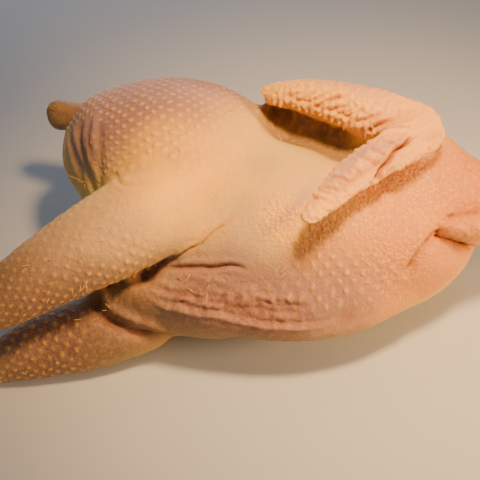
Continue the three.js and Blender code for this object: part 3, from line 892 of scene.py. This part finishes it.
def skin_material(settings):
    """Raw poultry skin, scalded and plucked: thin, moist and see-through over yellow fat and dark meat."""
    material, tree, shader, place = new_material("raw_hen_skin")
    crease, pimple, speck, stipple = [painted(tree, name) for name in LAYERS]
    cells = add_node(tree, "ShaderNodeTexVoronoi",
                     {"voronoi_dimensions": "2D", "Scale": 1.0, "Randomness": 0.0},
                     Vector=painted(tree, "tract", "Vector")).outputs["Distance"]
    dome = remapped(tree, cells, 0.38, 0.06, curve="SMOOTHSTEP")
    uneven = texture(tree, "Noise", place, 9, Detail=2.0)
    standing = times(tree, pimple, remapped(tree, uneven, 0.3, 0.7, 0.55, 1.15))
    tip = times(tree, dome, standing)
    trough = arithmetic(tree, "SUBTRACT", standing, tip)
    mottle = texture(tree, "Noise", place, 13, Detail=4.0, Roughness=0.6)
    fine = texture(tree, "Noise", place, 1.6, Detail=3.0)
    seeds = texture(tree, "Voronoi", place, 2.1, Randomness=0.7)
    seed = times(tree, remapped(tree, seeds, 0.5, 0.15, curve="SMOOTHSTEP"), stipple)
    dots = texture(tree, "Voronoi", place, 3.0)
    dot = remapped(tree, dots, 0.3, 0.12, 0.0, 0.75, "SMOOTHSTEP")
    colour = painted(tree, "tint", "Color")
    # The coats over the painted colour; the last darkens the creases with flushed red, which is partly
    # painted shade.
    for share, coat in (
            (remapped(tree, mottle, 0.45, 0.75, 0.0, 0.28), linear("c2977d")),
            (remapped(tree, fine, 0.45, 0.75, 0.0, 0.3), linear("d4a15b")),
            (times(tree, trough, 0.3), linear("a97c72")),
            (times(tree, tip, 0.75), settings.horn),
            (times(tree, seed, 0.7), linear("f6be48")),
            (times(tree, dot, speck), linear("cc5a34")),
            (times(tree, crease, 0.8), settings.blood_and_shade)):
        colour = blended(tree, share, colour, coat)
    tree.links.new(colour, shader.inputs["Base Color"])

    pores = texture(tree, "Noise", place, 0.9, Detail=3.0)
    wrinkle = texture(tree, "Noise", place, 3.4, Detail=4.0, Distortion=0.6)
    relief = summed(tree, ((tip, 0.45), (pores, 0.3), (wrinkle, 0.35), (seed, 0.2)))
    coarse = arithmetic(tree, "ADD", summed(tree, ((speck, 0.4), (stipple, 0.4))), 0.14)
    goose = times(tree, texture(tree, "Voronoi", place, 1.7), coarse)
    relief = arithmetic(tree, "SUBTRACT", relief, goose)
    bump = add_node(tree, "ShaderNodeBump", {"Strength": 1.0, "Distance": 0.9 * MM}, Height=relief)
    tree.links.new(bump.outputs[0], shader.inputs["Normal"])
    gloss = remapped(tree, wrinkle, 0.3, 0.7, 0.42, 0.6)
    tree.links.new(gloss, shader.inputs["Roughness"])
    shader.inputs["IOR"].default_value = 1.42
    shader.inputs["Specular IOR Level"].default_value = 0.3
    shader.inputs["Subsurface Weight"].default_value = 0.25
    shader.inputs["Subsurface Radius"].default_value = (1.0, 0.45, 0.25)
    shader.inputs["Subsurface Scale"].default_value = 3.0 * MM
    return material


def keratin_material(settings):
    """Quill stubs: straw-coloured keratin, waxy and a little see-through."""
    material, tree, shader, place = new_material("quill_keratin")
    streak = texture(tree, "Noise", place, 1.5, Detail=2.0)
    colour = blended(tree, streak, settings.colour, linear("d49c34"))
    tree.links.new(colour, shader.inputs["Base Color"])
    shader.inputs["Roughness"].default_value = 0.4
    shader.inputs["IOR"].default_value = 1.54
    return material


def bone_material(settings):
    """Fresh bone: cream, smooth outside and pink with marrow in its pores."""
    material, tree, shader, place = new_material("fresh_bone")
    pores = texture(tree, "Noise", place, 1.2, Detail=4.0)
    spot = remapped(tree, pores, 0.48, 0.66, 0.0, 0.7)
    colour = blended(tree, spot, settings.bone_colour, linear("a4503c"))
    tree.links.new(colour, shader.inputs["Base Color"])
    bump = add_node(tree, "ShaderNodeBump", {"Strength": 0.5, "Distance": 0.3 * MM}, Height=pores)
    tree.links.new(bump.outputs[0], shader.inputs["Normal"])
    shader.inputs["Roughness"].default_value = 0.42
    shader.inputs["IOR"].default_value = 1.5
    return material


def floor_material(settings):
    """A plain pale painted floor: matt, with a trace of unevenness."""
    material, tree, shader, place = new_material("pale_painted_floor")
    cloud = texture(tree, "Noise", place, 220, Detail=2.0)
    colour = blended(tree, times(tree, cloud, 0.12), settings.floor, linear("cfccc6"))
    tree.links.new(colour, shader.inputs["Base Color"])
    shader.inputs["Roughness"].default_value = 0.8
    return material


# Operators.

def finish_piece(piece, material):
    """Gives a piece its material, smooth shading and body."""
    piece.data.materials.clear()
    piece.data.materials.append(material)
    piece.data.polygons.foreach_set("use_smooth", [True] * len(piece.data.polygons))
    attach(piece, "root")


class HEN_OT_skin(bpy.types.Operator):
    """Make the hen's skin over the frame's solid, with its folds, follicles and colours"""
    bl_idname = "hen.skin"
    bl_label = "Skin"

    def execute(self, context):
        settings = context.scene.hen_skin
        skin = merged_copy(HEN_NODE)
        even_mesh(skin, settings.voxel)
        refine(skin.data, pimpled)
        refine(skin.data, winged)
        hide = Hide(skin.data)
        for press in (press_wing_hollow, press_thigh_folds, press_tail, press_leg_creases, press_keel,
                      press_neck, press_neck_cut):
            press(hide)
        hide.settle()
        press_wing(hide, settings.quill_gap / MM)
        hide.settle()
        gap = settings.follicle_gap / MM
        mark_tracts(hide, gap)
        raise_follicles(hide, gap, settings.follicle_height / MM)
        hide.points[:, 2] = np.maximum(hide.points[:, 2], 0)
        hide.settle()
        paint_skin(hide, settings)
        store_layers(hide)
        finish_piece(skin, skin_material(settings))
        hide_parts("hen")
        return {"FINISHED"}


def pin_feather(work, root, way, bend, length, radius):
    """Adds one bent, tapering quill stub to a bmesh."""
    before = len(work.verts)
    made = bmesh.ops.create_cone(work, cap_ends=True, segments=5, radius1=radius, radius2=0.35 * radius,
                                 depth=length)
    rails = {e for v in made["verts"] for e in v.link_edges
             if abs(e.verts[0].co.z - e.verts[1].co.z) > radius}
    bmesh.ops.subdivide_edges(work, edges=list(rails), cuts=3)
    work.verts.ensure_lookup_table()
    verts = work.verts[before:]
    for vert in verts:
        share = vert.co.z / length + 0.5
        vert.co.x += bend * length * share * share
    turn = Vector((0, 0, 1)).rotation_difference(way)
    place = Matrix.Translation(root) @ turn.to_matrix().to_4x4() @ Matrix.Translation((0, 0, 0.42 * length))
    bmesh.ops.transform(work, matrix=place, verts=verts)


class HEN_OT_feathers(bpy.types.Operator):
    """Stand the straw-coloured quill stubs and hairs that plucking left on the skin"""
    bl_idname = "hen.feathers"
    bl_label = "Pin feathers"

    def execute(self, context):
        settings = context.scene.hen_feathers
        skin = bpy.data.objects["skin"]
        draw = random.Random(settings.seed)
        tree = BVHTree.FromPolygons([v.co for v in skin.data.vertices],
                                    [tuple(p.vertices) for p in skin.data.polygons])
        # Each tuft's centre, its number of feathers, how far they spread and their length as a share.
        tufts = (
            ((-2, 37, 90), 5, 7, 1.2), ((-88, 6, 60), 3, 4, 1.3), ((-76, -45, 78), 5, 9, 0.7),
            ((-82, -54, 66), 6, 10, 0.7), ((-92, -60, 58), 8, 12, 0.7), ((-68, -47, 74), 3, 7, 0.8),
            ((-34, -46, 49), 3, 5, 1.0), ((-27, -50, 47), 3, 4, 1.0), ((-25, -33, 65), 4, 4, 0.8),
            ((17, -39, 68), 5, 5, 1.1), ((10, -47, 57), 2, 5, 0.9), ((64, -42, 37), 3, 3, 1.2),
            ((43, 8, 92), 4, 9, 0.8), ((20, 28, 92), 4, 12, 0.7), ((52, -20, 92), 2, 5, 1.0),
            ((90, -5, 68), 3, 12, 0.6), ((-76, -53, 33), 3, 6, 0.9), ((-100, -60, 18), 6, 16, 0.8),
            ((0, 10, 86), 3, 24, 0.6), ((100, 25, 60), 5, 20, 0.7), ((-60, 60, 60), 6, 24, 0.7),
            ((20, 62, 40), 8, 40, 0.7), ((-100, 66, 55), 4, 8, 1.0), ((90, 40, 30), 4, 20, 0.7),
        )
        work = bmesh.new()
        for centre, count, spread, scale in tufts:
            for _ in range(count):
                aim = Vector([c + draw.uniform(-spread, spread) for c in centre]) * MM
                root, normal, _, _ = tree.find_nearest(aim)
                if root.z < LOWEST_FEATHER * MM:
                    continue
                lean = Vector([draw.uniform(-1, 1) for _ in range(3)])
                way = (normal * 0.55 + lean * 0.8).normalized()
                if way.dot(normal) < 0.15:
                    way = (way + normal * 0.5).normalized()
                length = settings.length * scale * draw.uniform(0.6, 1.3)
                pin_feather(work, root, way, draw.uniform(-0.5, 0.5), length, settings.radius)
        finish_piece(new_object("pin_feathers", work), keratin_material(settings))
        return {"FINISHED"}


class HEN_OT_neck_bone(bpy.types.Operator):
    """Set the neck bone, with its canal, into the cut end of the neck"""
    bl_idname = "hen.neck_bone"
    bl_label = "Neck bone"

    def execute(self, context):
        settings = context.scene.hen_neck
        radius = settings.bone
        work = bmesh.new()
        ring = bmesh.ops.create_circle(work, cap_ends=True, segments=24, radius=radius)
        for vert in ring["verts"]:
            angle = math.atan2(vert.co.y, vert.co.x)
            vert.co *= 1 + 0.18 * math.cos(3 * angle) + 0.07 * math.sin(2 * angle)
        work.faces.ensure_lookup_table()
        face = work.faces[0]
        for thickness, depth in ((0.16, 0.12), (0.42, 0), (0.08, -0.5)):
            bmesh.ops.inset_region(work, faces=[face], thickness=thickness * radius, depth=depth * radius)
        rim = [e for e in work.edges if e.is_boundary]
        wall = bmesh.ops.extrude_edge_only(work, edges=rim)
        down = [v for v in wall["geom"] if isinstance(v, bmesh.types.BMVert)]
        bmesh.ops.translate(work, verts=down, vec=(0, 0, -2.2 * radius))
        bmesh.ops.holes_fill(work, edges=[e for e in work.edges if e.is_boundary], sides=0)
        bmesh.ops.recalc_face_normals(work, faces=work.faces)
        turn = Vector((0, 0, 1)).rotation_difference(Vector(NECK_CUT_NORMAL)).to_matrix().to_4x4()
        spot = Vector(NECK_CUT + NECK_CUT_NORMAL * 0.6 + (0, 1.5, 1.0)) * MM
        bmesh.ops.transform(work, matrix=Matrix.Translation(spot) @ turn, verts=work.verts)
        finish_piece(new_object("neck_bone", work), bone_material(settings))
        return {"FINISHED"}


def add_light(name, kind, place, target, watts, colour, **settings):
    """A light at a place in millimetres, turned to a target, with the settings of its kind."""
    lamp = bpy.data.lights.new(name, kind)
    lamp.energy = watts
    lamp.color = linear(colour)
    for key, value in settings.items():
        setattr(lamp, key, value)
    light = bpy.data.objects.new(name, lamp)
    light.location = Vector(place) * MM
    light.rotation_euler = (Vector(target) - Vector(place)).to_track_quat("-Z", "Y").to_euler()
    bpy.context.scene.collection.objects.link(light)


class HEN_OT_stage(bpy.types.Operator):
    """Lay a plain pale floor, light the hen softly and set the camera at the photograph's angle"""
    bl_idname = "hen.stage"
    bl_label = "Stage"

    def execute(self, context):
        settings = context.scene.hen_stage
        work = bmesh.new()
        bmesh.ops.create_grid(work, x_segments=4, y_segments=4, size=FLOOR_HALF)
        floor = new_object("floor", work)
        floor.data.materials.append(floor_material(settings))

        world = bpy.data.worlds.new("studio")
        context.scene.world = world
        world.use_nodes = True
        backdrop = world.node_tree.nodes["Background"]
        backdrop.inputs["Color"].default_value = (*linear(WORLD_COLOUR), 1)
        backdrop.inputs["Strength"].default_value = WORLD_STRENGTH
        add_light("key", "SPOT", (75, -70, 490), (50, -12, 55), 19.5, WARM_LIGHT, spot_blend=1.0,
                  spot_size=math.radians(58), shadow_soft_size=44 * MM)
        for name, place, target, size, watts, colour in (
                ("side", (395, -170, 170), (90, -10, 50), 130, 2.9, WARM_LIGHT),
                ("fill", (-380, -420, 420), (-40, 0, 40), 420, 0.3, NEUTRAL_LIGHT),
                ("back", (-120, 660, 170), (-10, 20, 40), 520, 2.0, COOL_LIGHT)):
            add_light(name, "AREA", place, target, watts, colour, shape="DISK", size=size * MM)

        target = Vector(CAMERA_TARGET) * MM
        away = Vector((0, -math.cos(settings.elevation), math.sin(settings.elevation)))
        lens = bpy.data.cameras.new("camera")
        lens.lens = settings.lens
        lens.clip_start = 0.01
        camera = bpy.data.objects.new("camera", lens)
        camera.location = target + away * settings.distance
        camera.rotation_euler = (-away).to_track_quat("-Z", "Y").to_euler()
        context.scene.collection.objects.link(camera)
        context.scene.camera = camera
        return {"FINISHED"}


class HEN_PT_panel(bpy.types.Panel):
    """The hen's pieces and their settings"""
    bl_idname = "HEN_PT_panel"
    bl_label = "Raw stewing hen"
    bl_space_type = "VIEW_3D"
    bl_region_type = "UI"
    bl_category = "Hen"

    def draw(self, context):
        for group, _, operator in SECTIONS:
            box = self.layout.box()
            settings = getattr(context.scene, group)
            for name in type(settings).__annotations__:
                box.prop(settings, name)
            box.operator(operator.bl_idname)


SECTIONS = (
    ("hen_skin", SkinSettings, HEN_OT_skin),
    ("hen_feathers", FeatherSettings, HEN_OT_feathers),
    ("hen_neck", NeckSettings, HEN_OT_neck_bone),
    ("hen_stage", StageSettings, HEN_OT_stage),
)
CLASSES = [kind for section in SECTIONS for kind in section[1:]] + [HEN_PT_panel]


def register():
    for kind in CLASSES:
        bpy.utils.register_class(kind)
    for name, group, _ in SECTIONS:
        setattr(bpy.types.Scene, name, PointerProperty(type=group))


def unregister():
    for name, _, _ in SECTIONS:
        delattr(bpy.types.Scene, name)
    for kind in reversed(CLASSES):
        bpy.utils.unregister_class(kind)


def main():
    register()
    bpy.ops.hen.skin()
    bpy.ops.hen.feathers()
    bpy.ops.hen.neck_bone()
    bpy.ops.hen.stage()


if __name__ == "__main__":
    main()
